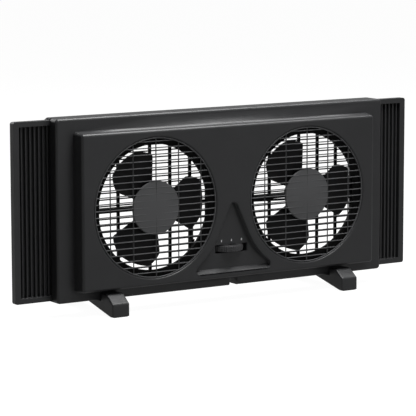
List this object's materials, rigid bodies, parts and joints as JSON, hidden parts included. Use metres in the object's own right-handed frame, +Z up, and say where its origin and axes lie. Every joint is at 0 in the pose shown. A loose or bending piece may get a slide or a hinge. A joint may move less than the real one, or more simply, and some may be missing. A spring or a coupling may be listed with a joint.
{
  "type": "window fan",
  "caption": "Twin window fan: two screened round openings with impellers, a thumbwheel control, sliding ribbed side panels and screw-on feet.",
  "frame": {"origin": "on the surface that the feet stand on, below the middle of the feet", "axes": "+X along the fan to its right end seen from the room, -Y towards the room, +Z up"},
  "size_m": [0.778, 0.175, 0.324],
  "materials": {
    "housing_plastic": "fine satin texture",
    "grille_plastic": "fine satin texture",
    "impeller_plastic": "satin",
    "side_plastic": "fine satin texture",
    "foot_plastic": "fine satin texture",
    "wheel_plastic": "semi-gloss",
    "dial_paint": "printed",
    "switch_plastic": "plain",
    "bright_steel": "bright",
    "plated_steel": "zinc plated",
    "core_steel": "bare laminations",
    "copper_wire": "enamelled",
    "bush_bronze": "sintered",
    "lead_rubber": "satin",
    "gland_rubber": "satin",
    "pad_rubber": "matt"
  },
  "bodies": {
    "housing": {"front_housing": "housing_plastic", "rear_housing": "housing_plastic", "control_panel": "housing_plastic", "dial_marks": "dial_paint", "front_grille_left": "grille_plastic", "front_grille_right": "grille_plastic", "rear_guard_left": "grille_plastic", "rear_guard_right": "grille_plastic", "motor_front_bell_left": "plated_steel", "motor_front_bell_right": "plated_steel", "motor_rear_bell_left": "plated_steel", "motor_rear_bell_right": "plated_steel", "motor_stator_left": "core_steel", "motor_stator_right": "core_steel", "motor_windings_left": "copper_wire", "motor_windings_right": "copper_wire", "motor_bushes_left": "bush_bronze", "motor_bushes_right": "bush_bronze", "motor_screws": "bright_steel", "bell_bolts": "bright_steel", "switch_body": "switch_plastic", "switch_screws": "bright_steel", "motor_lead_left": "lead_rubber", "motor_lead_right": "lead_rubber", "cord_gland": "gland_rubber", "foot_left": "foot_plastic", "foot_right": "foot_plastic", "foot_pads": "pad_rubber", "foot_screws": "bright_steel", "housing_screws": "bright_steel"},
    "impeller_left": {"impeller_left": "impeller_plastic", "impeller_nut_left": "bright_steel", "motor_rotor_left": "bright_steel"},
    "impeller_right": {"impeller_right": "impeller_plastic", "impeller_nut_right": "bright_steel", "motor_rotor_right": "bright_steel"},
    "side_panel_left": {"side_panel_left": "side_plastic"},
    "side_panel_right": {"side_panel_right": "side_plastic"},
    "thumbwheel": {"thumbwheel": "wheel_plastic", "switch_spindle": "bright_steel"}
  },
  "joints": [
    {"name": "impeller_left_spin", "type": "hinge", "parent": "housing", "child": "impeller_left", "pos_m": [-0.15, -0.0475, 0.1713], "axis": [0, 1, 0], "continuous": true},
    {"name": "impeller_right_spin", "type": "hinge", "parent": "housing", "child": "impeller_right", "pos_m": [0.15, -0.0475, 0.1713], "axis": [0, 1, 0], "continuous": true},
    {"name": "side_panel_left_slide", "type": "slide", "parent": "housing", "child": "side_panel_left", "axis": [-1, 0, 0], "range_m": [-0.06, 0]},
    {"name": "side_panel_right_slide", "type": "slide", "parent": "housing", "child": "side_panel_right", "axis": [1, 0, 0], "range_m": [-0.06, 0]},
    {"name": "thumbwheel_turn", "type": "hinge", "parent": "housing", "child": "thumbwheel", "pos_m": [0, -0.0445, 0.091], "axis": [0, 0, 1], "range_deg": [-38, 38]}
  ]
}
